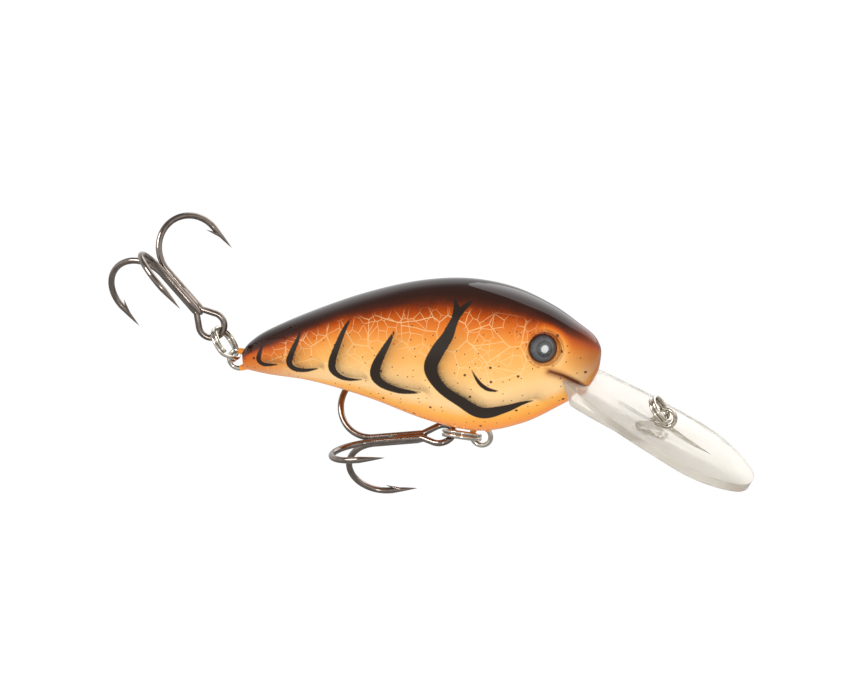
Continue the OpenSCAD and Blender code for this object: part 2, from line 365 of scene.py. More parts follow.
def speckLayer(tree, flatPlace, size, radius, share):
    dots = tree.nodes.new("ShaderNodeTexVoronoi")
    dots.voronoi_dimensions = "2D"
    dots.inputs["Scale"].default_value = 1 / (size * mm)
    link(tree, flatPlace, dots, "Vector")
    near = mapped(tree, (dots, "Distance"), radius * 0.75, radius, 1.0, 0.0)
    pick = tree.nodes.new("ShaderNodeSeparateColor")
    link(tree, (dots, "Color"), pick, 0)
    chosen = mapped(tree, (pick, 0), 1 - share, 1.02 - share)
    return maths(tree, "MULTIPLY", maths(tree, "MULTIPLY", near, chosen), attribute(tree, "specks"))


def bodyPaint():
    material, tree, shader = newMaterial("airbrushedLacquer")
    coordinates = objectPlace(tree)
    fine = noise(tree, coordinates, paint["fine"], 3, 0.7)
    wide = noise(tree, coordinates, paint["wide"])
    shift = maths(tree, "ADD", swing(tree, fine, paint["grain"]), swing(tree, wide, paint["drift"]))
    base = fillRamp(tree, maths(tree, "ADD", attribute(tree, "level"), shift), paint["bands"])
    # deeper orange towards the tail and brown towards the nose; brown painted shade along the mouth and round
    # the eye sockets, and a darker painted shadow in the mouth crease
    for valueName, tone in (("tailShade", "tailOrange"), ("paintedShadeAndNoseBrown", "noseAndShadeBrown"), ("creaseShadow", "creaseShadow")):
        base = mixColour(tree, base, attribute(tree, valueName), colour(paint[tone]))
    # the cracks and specks are laid on from the side, so their pattern is flat and runs along the body
    flat = tree.nodes.new("ShaderNodeMapping")
    flat.inputs["Rotation"].default_value = (math.radians(90), 0, 0)
    link(tree, coordinates, flat, "Vector")
    warp = tree.nodes.new("ShaderNodeVectorMath")
    warp.operation = "MULTIPLY_ADD"
    swirl, _ = noise(tree, coordinates, paint["swirl"])
    link(tree, (swirl, "Color"), warp, 0)
    warp.inputs[1].default_value = (paint["swirlBy"],) * 3
    link(tree, (flat, 0), warp, 2)
    base = mixColour(tree, base, crackNet(tree, coordinates, (warp, 0)), colour(paint["crack"]))
    for row in paint["specks"]:
        base = mixColour(tree, base, speckLayer(tree, (flat, 0), *row), colour(paint["speck"]))
    # black claw stripes: a crisp edge with a thin mist of spray beside it
    gap = maths(tree, "ADD", attribute(tree, "stripeGap"), swing(tree, fine, paint["stripeFray"]))
    solid = mapped(tree, gap, -0.12, 0.1, 1.0, 0.0)
    mist = maths(tree, "MULTIPLY", attribute(tree, "mist"), mapped(tree, fine, 0.2, 0.8, 0.6, 1.4))
    base = mixColour(tree, base, maths(tree, "MAXIMUM", solid, mist), colour(paint["stripe"]))
    link(tree, base, shader, "Base Color")
    link(tree, mapped(tree, fine, 0.2, 0.8, *paint["roughness"]), shader, "Roughness")
    addBump(tree, wide, shader, 0.06, 0.0001)
    # the clear coat carries the shine, and the paint under it has none
    shader.inputs["Specular IOR Level"].default_value = 0.0
    shader.inputs["Coat Weight"].default_value = 1.0
    shader.inputs["Coat Roughness"].default_value = 0.03
    shader.inputs["Coat IOR"].default_value = 1.38
    return material


def metal(name, tone, roughness, scale, streak):
    material, tree, shader = newMaterial(name)
    cloud = noise(tree, objectPlace(tree), scale)
    base = mixColour(tree, colour(tone), mapped(tree, cloud, 0.35, 0.75, 0.0, 0.55), colour(streak))
    link(tree, base, shader, "Base Color")
    shader.inputs["Metallic"].default_value = 1.0
    rough = mapped(tree, cloud, 0.3, 0.7, roughness * 0.9, roughness * 1.25)
    link(tree, rough, shader, "Roughness")
    addBump(tree, cloud, shader, 0.03, 0.00003)
    return material


def clearPlastic():
    material, tree, shader = newMaterial("clearMouldedPlastic")
    coordinates = objectPlace(tree)
    cloud = noise(tree, coordinates, 90, 3)
    flow = noise(tree, coordinates, 420, 4, 0.6)
    base = mixColour(tree, colour("ece6db"), mapped(tree, cloud, 0.35, 0.7), colour("e0dacd"))
    link(tree, base, shader, "Base Color")
    link(tree, mapped(tree, flow, 0.35, 0.7, 0.05, 0.17), shader, "Roughness")
    shader.inputs["IOR"].default_value = 1.49
    shader.inputs["Transmission Weight"].default_value = 0.62
    addBump(tree, flow, shader, 0.12, 0.0001)
    return material


eyeBands = [(0.0, "0e0c0c"), (0.5, "0c0a0a"), (0.54, "080707"), (0.60, "4a494d"), (0.72, "49484d"),
            (0.84, "3a3638"), (0.91, "241b1b"), (1.0, "1c1212")]


def eyeLensMaterial():
    # pupil, grey iris and dark edge, from the middle of the lens outwards
    material, tree, shader = newMaterial("domedEye")
    rings = fillRamp(tree, attribute(tree, "eyeRadius"), eyeBands)
    dust = mapped(tree, noise(tree, objectPlace(tree), 1800, 4, 0.7), 0.45, 0.8, 0.0, 0.18)
    link(tree, mixColour(tree, rings, dust, colour("8a8d96")), shader, "Base Color")
    shader.inputs["Roughness"].default_value = 0.4
    shader.inputs["Coat Weight"].default_value = 1.0
    shader.inputs["Coat Roughness"].default_value = 0.02
    shader.inputs["Coat IOR"].default_value = 1.5
    return material


lacquer = bodyPaint()
nickel = metal("brightNickel", "cdc6ba", 0.1, 900, "a29a8e")
blackNickel = metal("blackNickel", "877c74", 0.11, 700, "5c524b")
steel = metal("plainSteel", "8d8f92", 0.3, 500, "6a6c70")
clearBill = clearPlastic()
lensGloss = eyeLensMaterial()
print("materials made")

body = {
    # back, belly and half width at points along the body, in mm from the tail eye: x, back, belly, half width
    "stations": [(1.0, 1.7, -1.7, 1.3), (2.6, 3.3, -2.1, 2.3), (6, 5.3, -2.8, 3.6), (14, 8.4, -4.1, 5.9),
                 (24, 11.5, -7.4, 8.0), (34, 13.5, -11.8, 9.1), (43, 13.7, -14.1, 9.4), (51, 11.9, -12.9, 8.6),
                 (57.8, 8.5, -10, 6.2), (62.5, 4.9, -7.4, 4.1), (64.9, 2.8, -4.6, 2.6), (65.9, 1.0, -1.6, 1.1),
                 (66.05, 0.1, -0.4, 0.15)],
    "power": 2.2,
    "columns": 300,
    "rows": 96,
    "eyeSpot": (57.34, 5.9, 2.69),
    "eyeTurn": 30,
    "eyeTilt": 10,
    "socketRadius": 3.1,
    "socketDepth": 1.3,
    "boreLength": 8.0,
    "mouthPress": 0.5,
    "mouthSpread": 0.35,
}
# claw stripes and the mouth, as rows of x, z and half width in mm
stripes = [
    [(5.4, 3.5, .18), (4.8, 2.2, .4), (4.5, .9, .5), (5.3, .2, .45), (6.7, .2, .3), (8.2, .4, .1)],
    [(13.1, 6.6, .14), (12.3, 4.9, .4), (11.1, 2.6, .57), (10.5, .9, .64), (11.3, -.2, .6), (13.3, -.4, .43),
     (16, .2, .14)],
    [(22.7, 9.1, .14), (21.6, 7.5, .4), (20.3, 4.9, .57), (19, 2, .7), (18.8, .1, .75), (19.9, -1.2, .6),
     (21.6, -1.7, .4), (24, -1.6, .14)],
    [(31.1, 7.6, .14), (30, 5.8, .45), (28.5, 3.5, .7), (27.2, 1.2, .9), (26.8, -.8, 1), (27.9, -2.4, .9),
     (30.5, -3.5, .7), (32.7, -3.8, .45), (34.8, -3.9, .14)],
    [(45, 11.7, .18), (43.5, 10.8, .54), (42.1, 9.2, .7), (40.7, 6.5, 1.05), (38.7, 3.9, 1.25),
     (37.2, .7, 1.25), (38.7, -2.9, 1.05), (41.8, -5.7, 1.15), (45.1, -8.3, 1.3), (49, -7.9, .9),
     (52.3, -7, .45), (54.4, -6.7, .14)],
    [(41.9, 12.1, .18), (42.3, 10.9, .54), (42.1, 9.2, .7)],
    [(44.6, .3, .12), (45.7, -2.1, .36), (47, -3.4, .4), (48.8, -4, .16)],
]
mouth = [(57.9, -1.8, 0.02), (60, -3.1, 0.1), (61.9, -4.8, 0.15), (62.9, -6.1, 0.05)]
spray = {
    # each fade runs from the first value to the second, in mm along the body or in level
    "noseFade": (55, 62),
    "noseDrop": 0.02,
    "tailFade": (22, 2),
    "tailDrop": 0.14,
    # a painted highlight: a lighter ring round each eye socket
    "rimHighlightFade": (57.5, 60.5),
    "rimHighlightRise": 0.10,
    "rimHighlightRing": 3.3,
    "mistShift": (0.9, 0.5),
    "mistLevel": (0.3, 0.42),
    "mist": 0.85,
    "orangeFade": (18, 2),
    "orangeLevel": (0.2, 0.34),
    "orange": 0.7,
    # painted shade along the mouth, and a darker painted shadow in its crease
    "mouthFrom": 56,
    "lip": 0.75,
    "lipWidth": 0.8,
    "creaseWidth": 0.42,
    "noseBrownFade": (58.5, 66.3),
    "noseBrown": 0.78,
    # a thin ring of painted shade just outside each eye socket
    "rim": 0.8,
    "edgeShadeOut": 0.22,
    "edgeShadeWidth": 0.13,
    "crackleStart": (3, 10),
    "crackleEnd": (60, 52),
    "crackleTop": (0.2, 0.27),
    "crackleFoot": (0.62, 0.5),
    "crackle": 0.62,
    "speckLevel": (0.22, 0.3),
    "specks": 0.9,
}


def eyeFrame(side):
    turn, tilt = math.radians(body["eyeTurn"]), math.radians(body["eyeTilt"])
    out = np.array([math.sin(turn) * math.cos(tilt), side * math.cos(turn) * math.cos(tilt), math.sin(tilt)])
    x, y, z = body["eyeSpot"]
    return np.array([x, side * y, z]), out


def bell(distance, width):
    return np.exp(-(distance / width) ** 2)


def sprayBody(piece, spot, out):
    # marks where each layer of paint goes
    stations = np.array(body["stations"], float)
    co = (points(piece) - tailEye) / mm
    x, y, z = co.T
    back, belly, wide = (np.interp(x, stations[:, 0], stations[:, k]) for k in (1, 2, 3))
    up = np.clip((z - (back + belly) / 2) / ((back - belly) / 2), -1, 1)
    away = np.abs(y) / np.maximum(wide, 0.2)
    half = body["power"] / 2
    # level runs from 0 on the middle of the back to 1 on the middle of the belly
    level = np.arctan2(away ** half, np.sign(up) * np.abs(up) ** half) / math.pi
    # the brown back comes lower over the nose and the tail
    level = level - spray["noseDrop"] * smoothStep(*spray["noseFade"], x)
    level = level - spray["tailDrop"] * smoothStep(*spray["tailFade"], x)
    eyeGap = np.linalg.norm(np.cross(co - spot, out), axis=1)
    # a painted highlight: the bands turn lighter in a ring round the eye socket, strongest towards its upper
    # front
    brow = bell(eyeGap - spray["rimHighlightRing"], 1.0) * smoothStep(*spray["rimHighlightFade"], x + z * 0.4)
    level = level + spray["rimHighlightRise"] * brow
    addValue(piece, "level", level)
    gap = np.min([pathDistance(x, z, s) for s in stripes], axis=0)
    addValue(piece, "stripeGap", gap)
    # spray drifted to the front of each long stripe
    shiftX, shiftZ = spray["mistShift"]
    hazy = np.min([pathDistance(x - shiftX, z - shiftZ, s) for s in stripes[:5]], axis=0)
    drift = np.clip((gap - hazy) / 0.8, 0, 1) * np.exp(-np.maximum(gap, 0) / 1.1)
    addValue(piece, "mist", spray["mist"] * drift * smoothStep(*spray["mistLevel"], level))
    orange = smoothStep(*spray["orangeFade"], x) * smoothStep(*spray["orangeLevel"], level)
    addValue(piece, "tailShade", spray["orange"] * orange)
    # painted shade along the mouth, and a darker painted shadow in the crease under the upper lip
    lip = pathDistance(x, z - 0.25, mouth)
    inFront = x > spray["mouthFrom"]
    paintedShadeAndNoseBrown = spray["lip"] * bell(np.maximum(lip, 0), spray["lipWidth"]) * inFront
    addValue(piece, "creaseShadow", bell(np.maximum(lip + 0.1, 0), spray["creaseWidth"]) * inFront)
    nose = spray["noseBrown"] * smoothStep(*spray["noseBrownFade"], x - 0.25 * np.abs(z))
    # a thin ring of painted shade just outside the eye socket
    rim = spray["rim"] * bell(eyeGap - body["socketRadius"] - spray["edgeShadeOut"], spray["edgeShadeWidth"])
    # the nose's brown and the painted shade go on with one brown
    addValue(piece, "paintedShadeAndNoseBrown", np.clip(np.max([paintedShadeAndNoseBrown, nose, rim], axis=0), 0, 1))
    crackle = smoothStep(*spray["crackleTop"], level) * smoothStep(*spray["crackleFoot"], level)
    crackle = crackle * smoothStep(*spray["crackleStart"], x) * smoothStep(*spray["crackleEnd"], x)
    addValue(piece, "crackle", crackle * spray["crackle"])
    addValue(piece, "specks", smoothStep(*spray["speckLevel"], level) * spray["specks"])


def bodyHalf(name, side, node):
    stations = np.array(body["stations"], float)

    def place(u, v):
        x, back, belly, wide = smoothRow(stations, u * (len(stations) - 1)).T
        a = v * math.pi
        power = 2 / body["power"]
        high = np.sign(np.cos(a)) * np.abs(np.cos(a)) ** power
        outward = np.abs(np.sin(a)) ** power
        z = (back + belly) / 2 + (back - belly) / 2 * high
        # the mouth crease is pressed in under the upper lip
        press = body["mouthPress"] * bell(np.maximum(pathDistance(x, z, mouth), 0), body["mouthSpread"])
        y = np.maximum(wide * outward - press * outward, 0)
        return placed(np.stack([x, side * y, z], 1))

    piece = gridPiece(name, body["columns"], body["rows"], place)
    sealPiece(piece)
    # the eye socket is bored square to the eye
    spot, out = eyeFrame(side)
    centre = placed(spot + out * (body["boreLength"] / 2 - body["socketDepth"]))
    deselectAll()
    bpy.ops.mesh.primitive_cylinder_add(vertices=96, radius=body["socketRadius"] * mm,
                                        depth=body["boreLength"] * mm, location=centre,
                                        rotation=Vector(out).to_track_quat("Z", "Y").to_euler())
    cutAway(piece, "socket", bpy.context.object)
    sprayBody(piece, spot, out)
    shadeSmooth(piece, 50)
    dress(piece, lacquer, "lure_body", "shell", node)


bodyHalf("rightFlank", -1, "right_shell")
bodyHalf("leftFlank", 1, "left_shell")
print("body painted")


lens = {"radius": 2.6, "rise": 1.0, "lift": 0.5, "skirtFrom": 0.9, "skirt": 3}


def eyeLens(name, side, node):
    spot, out = eyeFrame(side)
    radius, rise = lens["radius"], lens["rise"]
    base = spot + out * (lens["lift"] - body["socketDepth"])
    turnTo = np.array(Vector(out).to_track_quat("Z", "Y").to_matrix())
    ballRadius = (radius**2 + rise**2) / (2 * rise)

    def place(u, v):
        # u runs from the middle to the rim and down the lens's side, and v goes round
        a = v * 2 * math.pi
        onDome = u < lens["skirtFrom"]
        r = np.where(onDome, u / lens["skirtFrom"], 1.0) * radius
        dome = np.sqrt(ballRadius**2 - r**2) - (ballRadius - rise)
        h = np.where(onDome, dome, -lens["skirt"] * (u - lens["skirtFrom"]))
        local = np.stack([r * np.cos(a), r * np.sin(a), h], 1)
        return placed(base + local @ turnTo.T)

    piece = gridPiece(name, 40, 64, place)
    sealPiece(piece)
    co = (points(piece) - tailEye) / mm
    addValue(piece, "eyeRadius", np.linalg.norm(np.cross(co - spot, out), axis=1) / radius)
    shadeSmooth(piece, 60)
    dress(piece, lensGloss, "lure_body", "eye_lens", node)


eyeLens("rightLens", -1, "right_eye_lens")
eyeLens("leftLens", 1, "left_eye_lens")
print("eyes set")

bill = {
    "slope": 34.5,
    "root": (65.95, 0.0, -7.77),
    "thickness": 1.7,
    # it thickens between these two places along it, towards the root
    "taper": (5, -7),
    "rootThickness": 3.2,
    # distance along the bill and half width
    "rim": [(-12, 3.2), (-7, 5.3), (-3.4, 6.9), (0, 7.9), (5, 8.9), (9, 9.4), (12.5, 9.65), (16, 9.9),
            (19.5, 9.8), (22.8, 8.95), (26.3, 7.05), (29.4, 4.3), (30.5, 1.9), (30.7, 0)],
    "edgeRound": 0.22,
    "rootCut": -7.4,
    "rootCutSquare": (0.647, 0, 0.762),
    "recessMid": 12.4,
    "recessRound": 2.3,
    "recessTip": 22.8,
    "recessDepth": 0.5,
    # share of the recess's length and width that is left at its floor
    "recessFloor": (0.84, 0.68),
}
slope = math.radians(bill["slope"])
billTurn = np.array([[math.cos(slope), 0, math.sin(slope)], [0, 1, 0], [-math.sin(slope), 0, math.cos(slope)]])


def onBill(local):
    return np.asarray(local, float) @ billTurn.T + np.array(bill["root"])


def billOutline(per=10):
    last = len(bill["rim"]) - 1
    rows = smoothRow(bill["rim"], np.linspace(0, last, per * last + 1))
    return [(x, y) for x, y in rows] + [(x, -y) for x, y in rows[-2::-1]]


def platePiece(name, outline, top, bottom):
    # a flat disc primitive whose rim is moved to the outline and pushed down to a plate
    deselectAll()
    bpy.ops.mesh.primitive_circle_add(vertices=len(outline), radius=1, fill_type="NGON")
    piece = bpy.context.object
    piece.name = piece.data.name = name
    for vertex, (x, y) in zip(piece.data.vertices, outline):
        vertex.co = (x, y, top)
    bpy.ops.object.mode_set(mode="EDIT")
    bpy.ops.mesh.select_all(action="SELECT")
    bpy.ops.mesh.extrude_region_move(TRANSFORM_OT_translate={"value": (0, 0, bottom - top)})
    bpy.ops.mesh.select_all(action="SELECT")
    bpy.ops.mesh.normals_make_consistent(inside=False)
    bpy.ops.object.mode_set(mode="OBJECT")
    return piece


def settleOnBill(piece):
    moved = placed(onBill(points(piece)))
    piece.data.vertices.foreach_set("co", moved.ravel())
    piece.data.update()


plate = platePiece("clearBill", billOutline(), 0.0, -bill["thickness"])
selectOnly(plate)
bpy.ops.object.mode_set(mode="EDIT")
for place in bill["taper"]:
    bpy.ops.mesh.select_all(action="SELECT")
    bpy.ops.mesh.bisect(plane_co=(place, 0, 0), plane_no=(1, 0, 0))
bpy.ops.object.mode_set(mode="OBJECT")
for vertex in plate.data.vertices:
    if vertex.co.z < -0.5 * bill["thickness"]:
        vertex.co.z = -np.interp(vertex.co.x, bill["taper"][::-1], (bill["rootThickness"], bill["thickness"]))
# the root ends on the slanted face of the lower jaw
bpy.ops.object.mode_set(mode="EDIT")
bpy.ops.mesh.select_all(action="SELECT")
bpy.ops.mesh.bisect(plane_co=(bill["rootCut"], 0, 0), plane_no=bill["rootCutSquare"], use_fill=True,
                    clear_inner=True)
bpy.ops.object.mode_set(mode="OBJECT")
softEdge = plate.modifiers.new("softEdge", "BEVEL")
softEdge.width = bill["edgeRound"]
softEdge.segments = 3
softEdge.limit_method = "ANGLE"
softEdge.angle_limit = math.radians(50)
applyAll(plate)
# the tapered recess has sloping walls: a wide top and a narrow floor
middle, recessRound = bill["recessMid"], bill["recessRound"]
roundEnd = np.radians(np.arange(66, 295, 6))
recess = [(middle + recessRound * math.cos(a), recessRound * math.sin(a)) for a in roundEnd]
recess.append((bill["recessTip"], 0.0))
cutter = platePiece("recessCutter", recess, 0.4, -bill["recessDepth"])
keepLength, keepWidth = bill["recessFloor"]
for vertex in cutter.data.vertices:
    if vertex.co.z < 0:
        vertex.co.x = middle + (vertex.co.x - middle) * keepLength
        vertex.co.y *= keepWidth
cutAway(plate, "recess", cutter)
settleOnBill(plate)
shadeSmooth(plate, 30)
dress(plate, clearBill, "lure_body", "clear_bill", "diving_bill")
print("bill shaped")

# wire radii in mm
wire = {"tie": 0.38, "hanger": 0.45, "ring": 0.35, "hook": 0.575}


def arcPoints(centre, radius, start, end, count):
    a = np.radians(np.linspace(start, end, count))
    return np.stack([centre[0] + radius * np.cos(a), centre[1] + radius * np.sin(a)], 1)


tie = {
    "along": 11.8,
    "lift": 1.65,
    "radius": 1.72,
    "arc": (205, -95),
    "step": 0.25,
    # the two legs in the plate: where they start, how far they run, how deep, and their twist
    "legFrom": 3.2,
    "legRun": 6.2,
    "legDepth": -0.95,
    "turns": 2.6,
    "coil": 0.36,
}


def tieWire():
    # two legs twisted round each other in the plate, then the open eye above it
    t = np.linspace(0, 1, 60)
    x = tie["legFrom"] + t * tie["legRun"]
    legs = []
    for phase in (0, math.pi):
        a = phase + tie["turns"] * 2 * math.pi * smoothStep(0.45, 1.0, t)
        legs.append(np.stack([x, tie["coil"] * np.cos(a), tie["legDepth"] + tie["coil"] * np.sin(a)], 1))
    eye = arcPoints((tie["along"], tie["lift"]), tie["radius"], *tie["arc"], 44)
    # the eye lies flat in the middle, and only its ends step to the two sides
    eye = np.stack([eye[:, 0], tie["step"] * np.linspace(-1, 1, len(eye)) ** 9, eye[:, 1]], 1)
    up = np.array([[9.75, -0.15, -0.35], [9.95, -0.25, 0.3]])
    down = np.array([[10.9, 0.25, -0.5], [10.0, 0.2, -0.85]])
    path = np.vstack([legs[0], up, eye, down, legs[1][::-1][2:]])
    # ease the corners between the stretches
    for _ in range(2):
        path[1:-1] = 0.25 * path[:-2] + 0.5 * path[1:-1] + 0.25 * path[2:]
    piece = wirePiece("lineTieWire", onBill(path), np.full(len(path), wire["tie"]), 16)
    dress(piece, nickel, "lure_body", "nickel", "line_tie_wire")


tieWire()


def linkFrame(lift, roll):
    # along the link towards the tail, its normal, and the third side
    lift, roll = math.radians(lift), math.radians(roll)
    along = np.array([-math.cos(lift), 0, math.sin(lift)])
    square = np.array([math.sin(lift), 0, math.cos(lift)])
    normal = math.cos(roll) * square + math.sin(roll) * np.array([0, 1.0, 0])
    return along, normal, np.cross(normal, along)


def aft(lift):
    return linkFrame(lift, 0)[0]


def splitRing(name, end, along, normal, radius, rider, node, turn):
    # one wire wound twice, with a short step where it passes from one coil to the other
    across = np.cross(normal, along)
    half = wire["ring"] + 0.01
    step, overlap = 50, 8
    angle = np.radians(np.linspace(step / 2 - overlap, 720 - step / 2 + overlap, 170))
    passing = smoothStep(math.radians(360 - step / 2), math.radians(360 + step / 2), angle)
    rise = half * (2 * passing - 1)
    turned = angle + math.radians(turn)
    flat = np.cos(turned)[:, None] * along + np.sin(turned)[:, None] * across
    path = end + radius * along + radius * flat + rise[:, None] * normal
    radii = np.full(len(path), wire["ring"])
    radii[0] = radii[-1] = wire["ring"] * 0.8
    piece = wirePiece(name, path, radii, 16)
    dress(piece, nickel, rider, "nickel", node)


# where the links hang: a lift is an angle above straight back, a roll is about the link's own line
links = {
    "hookRing": 3.25,
    "tieRing": 2.4,
    "seat": 0.42,
    "bellyEye": (42.8, 0, -15.8),
    "tailSeat": 35,
    "tailRing": (58.4, 0),
    "tailHook": (54.3, 283.8),
    "tailHookSeat": 0.9,
    "bellySeat": -40,
    "bellyRing": (9.8, 24),
    "bellyHook": (-3.5, 156),
    "bellyHookSeat": 0.7,
    "bellyHookLift": -45,
    "tieSpot": (12.35, 0, 1.35),
    "tieTilt": (26, 0),
}
hookRing = links["hookRing"]
bellyEye = np.array(links["bellyEye"])
tailRingEnd = links["seat"] * aft(links["tailSeat"])
bellyRingEnd = bellyEye + links["seat"] * aft(links["bellySeat"])
tailFar = tailRingEnd + 2 * hookRing * aft(links["tailRing"][0])
bellyFar = bellyRingEnd + 2 * hookRing * aft(links["bellyRing"][0])
tailHookEye = tailFar + links["tailHookSeat"] * aft(links["tailHook"][0])
bellyHookEye = bellyFar + links["bellyHookSeat"] * aft(links["bellyHookLift"])

splitRing("tailSplitRing", tailRingEnd, *linkFrame(*links["tailRing"])[:2], hookRing, "tail_ring",
          "tail_split_ring", 118)
splitRing("bellySplitRing", bellyRingEnd, *linkFrame(*links["bellyRing"])[:2], hookRing, "belly_ring",
          "belly_split_ring", 200)
tieAlong, tieNormal = (billTurn @ direction for direction in linkFrame(*links["tieTilt"])[:2])
splitRing("lineTieRing", onBill(links["tieSpot"]), tieAlong, tieNormal, links["tieRing"], "line_ring",
          "line_tie_ring", 150)


def eyePath(radius, legAlong, legSide, legEnd, count=40):
    # in a plane: legs at +x that draw together, and the eye round the origin
    reach = math.hypot(legAlong, legSide)
    turn = math.degrees(math.acos(radius / reach) + math.atan2(legSide, legAlong))
    leg = np.array([[legEnd, legSide], [(legEnd + legAlong) / 2, legSide], [legAlong, legSide]])
    return np.vstack([leg, arcPoints((0, 0), radius, turn, 360 - turn, count), leg[::-1] * [1, -1]])


hangerEye = {"radius": 1.7, "legSide": 0.55}


def hanger(name, centre, towards, legAlong, legEnd, node):
    flat = eyePath(hangerEye["radius"], legAlong, hangerEye["legSide"], legEnd)
    towards = np.array(towards, float)
    across = np.cross([0, 1.0, 0], towards)
    path = centre + flat[:, :1] * towards + flat[:, 1:] * across
    piece = wirePiece(name, path, np.full(len(path), wire["hanger"]), 18)
    dress(piece, nickel, "lure_body", "nickel", node)


hanger("tailHangerEye", np.zeros(3), (1, 0, 0), 4.0, 10.0, "tail_hanger")
hanger("bellyHangerEye", bellyEye, (0, 0, 1), 4.2, 6.3, "belly_hanger")


# a nub takes the plain lacquer of the lower side
nubLayers = {"level": 0.8, "stripeGap": 9.0, "mist": 0.0, "tailShade": 0.2, "paintedShadeAndNoseBrown": 0.0, "creaseShadow": 0.0,
             "crackle": 0.0, "specks": 0.0}


def paintNub(name, spot, run, size):
    # paint that crept along a wire where it enters the body
    run = np.array(run, float) / np.linalg.norm(run)
    t = np.linspace(0, 1, 14)
    path = np.array(spot) + np.outer(t * size * 2.2, run)
    swell = np.sqrt(np.clip(1 - t, 0, 1)) * np.where(t < 0.05, 0.9, 1)
    radii = wire["hanger"] + size * 0.28 * swell
    radii[-1] = wire["hanger"] + 0.02
    piece = wirePiece(name, path, radii, 18)
    for valueName, amount in nubLayers.items():
        addValue(piece, valueName, np.full(len(piece.data.vertices), amount))
    dress(piece, lacquer, "lure_body", "shell")


paintNub("tailNubUpper", (1.7, 0, 1.2), (-1, 0, 0.3), 0.75)
paintNub("tailNubLower", (1.8, 0, -1.2), (-1, 0, -0.3), 0.8)
paintNub("bellyNubRear", (41.9, 0, -13.4), (-0.32, 0, -1), 0.75)
paintNub("bellyNubFront", (43.7, 0, -13.4), (0.32, 0, -1), 0.7)
print("wires wound")

treble = {
    "eye": 2.275,
    "neck": 4.5,
    "bendAt": 12.6,
    "bend": 6.0,
    "point": 5.0,
    "barbAt": 3.0,
    "barb": 2.8,
    "barbLean": 28,
    "barbRadius": 0.36,
    "brazeRun": 8.6,
    "brazeRadius": 0.96,
    "webRun": 3.2,
    "webRadius": 0.95,
    "webFlat": 0.55,
}
legSide = wire["hook"] * 1.02
legDrop = legSide / math.sqrt(3)


def armPath(start):
    # along, out: the shank, the round bend and the point, with a radius at each step
    bendAt, bendRadius, point = treble["bendAt"], treble["bend"], treble["point"]
    shank = np.linspace(start, bendAt, 8)[:-1]
    bend = arcPoints((bendAt, bendRadius), bendRadius, -90, 90, 44)
    back = np.linspace(0, point, 16)[1:]
    straight = np.stack([bendAt - back, np.full(len(back), 2 * bendRadius)], 1)
    flat = np.vstack([np.stack([shank, 0 * shank], 1), bend, straight])
    radii = np.full(len(flat), wire["hook"])
    taper = np.clip((flat[:, 0] - (bendAt - point)) / (point * 0.92), 0, 1)
    outer = flat[:, 1] > 1.9 * bendRadius
    radii[outer] = np.maximum(wire["hook"] * taper[outer] ** 0.8, 0.03)
    return flat, radii


def barb(name, toWorld):
    # a thin blade cut up from the wire, leaning in towards the shank
    t = np.linspace(0, 1, 10)
    lean = math.radians(treble["barbLean"])
    x = treble["bendAt"] - treble["point"] + treble["barbAt"] + treble["barb"] * t * math.cos(lean)
    out = 2 * treble["bend"] - 0.05 - treble["barb"] * t * math.sin(lean)
    radii = np.maximum(treble["barbRadius"] * (1 - t) ** 0.8, 0.025)
    return wirePiece(name, toWorld(np.stack([x, out], 1)), radii, 12)


def trebleHook(name, eye, posture, rider, pairNode, singleNode):
    along, normal, across = linkFrame(*posture)
    neck = treble["neck"]

    def arm(degrees, side, drop):
        turn = math.radians(degrees)
        out = math.cos(turn) * normal + math.sin(turn) * across
        base = eye + side * across + drop * normal
        return lambda flat: base + flat[:, :1] * along + flat[:, 1:] * out

    armA, armB = arm(120, legSide, -legDrop), arm(-120, -legSide, -legDrop)
    armC = arm(0, 0, 2 * legDrop)
    # double hook: point, bend, shank, eye, shank, bend and point are one wire
    flat, radii = armPath(neck)
    loop = eyePath(treble["eye"], neck - 1.1, legSide, neck)[1:-1]
    eyeRun = eye + loop[:, :1] * along + loop[:, 1:] * across - legDrop * normal
    path = np.vstack([armA(flat)[::-1][:-1], eyeRun, armB(flat)[1:]])
    allRadii = np.concatenate([radii[::-1][:-1], np.full(len(eyeRun), wire["hook"]), radii[1:]])
    double = wirePiece(name + "Double", path, allRadii)
    joinPieces(double, [barb("barbA", armA), barb("barbB", armB)])
    # braze that fills the grooves between the three shanks
    t = np.linspace(0, 1, 30)
    seam = eye + np.outer(neck - 1.2 + t * treble["brazeRun"], along)
    brazeShape = np.sqrt(np.clip(t * 6, 0.02, 1)) * np.clip((1 - t) * 2.2, 0.05, 1)
    braze = wirePiece(name + "Braze", seam, treble["brazeRadius"] * brazeShape, 16)
    # and the web that closes the eye's neck
    webRun = eye + np.outer(neck - 1.9 + t * treble["webRun"], along) - legDrop * normal
    webShape = np.sin(math.pi * np.clip(t, 0.02, 0.98)) ** 0.6
    web = wirePiece(name + "Web", webRun, treble["webRadius"] * webShape, 24, (normal, treble["webFlat"]))
    flat, radii = armPath(neck - 1.2)
    radii[0] = wire["hook"] * 0.6
    single = wirePiece(name + "Single", armC(flat), radii)
    joinPieces(single, [barb("barbC", armC), braze, web])
    for piece, node in ((double, pairNode), (single, singleNode)):
        shadeSmooth(piece, 50)
        dress(piece, blackNickel, rider, "hook", node)


trebleHook("tailTreble", tailHookEye, links["tailHook"], "tail_hook", "tail_hook_pair", "tail_hook_single")
trebleHook("bellyTreble", bellyHookEye, links["bellyHook"], "belly_hook", "belly_hook_pair",
           "belly_hook_single")
print("hooks bent")

# the nodes that keep their own shape
for node, material in (("ballast_weight", steel), ("rear_rattle", nickel), ("middle_rattle", nickel),
                       ("right_eye_disc", blackNickel), ("left_eye_disc", blackNickel)):
    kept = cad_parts[node]
    kept.data.materials.clear()
    kept.data.materials.append(material)

low, high = cadBox
floorDrop = 0.03


